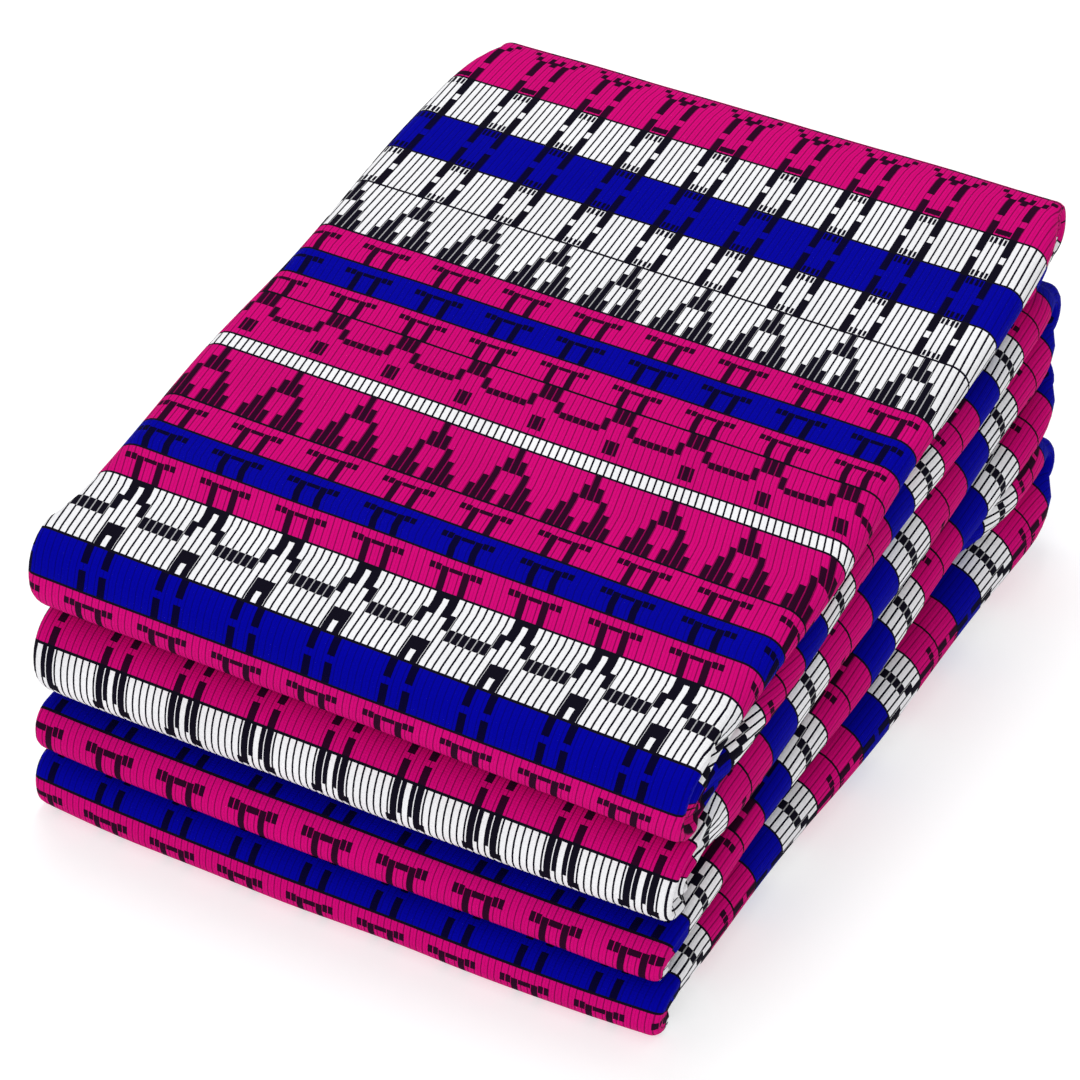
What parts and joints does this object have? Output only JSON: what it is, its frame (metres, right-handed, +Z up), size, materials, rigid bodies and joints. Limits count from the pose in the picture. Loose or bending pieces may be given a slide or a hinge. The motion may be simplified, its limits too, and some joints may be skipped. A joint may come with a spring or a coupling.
{
  "type": "folded aso oke woven cloth",
  "caption": "Woven cloth with pink, white and blue bands, its sides turned in and folded back and forth into a thick bundle that lies flat.",
  "frame": {"origin": "on the surface that the bundle lies on, under the middle of the bundle", "axes": "+X to the side folds that show, +Y from the front folds to the back, +Z up"},
  "size_m": [0.3145, 0.4022, 0.1853],
  "materials": {
    "woven_cotton": "matte"
  },
  "bodies": {
    "root": {"folded_cloth": "woven_cotton"}
  },
  "joints": []
}
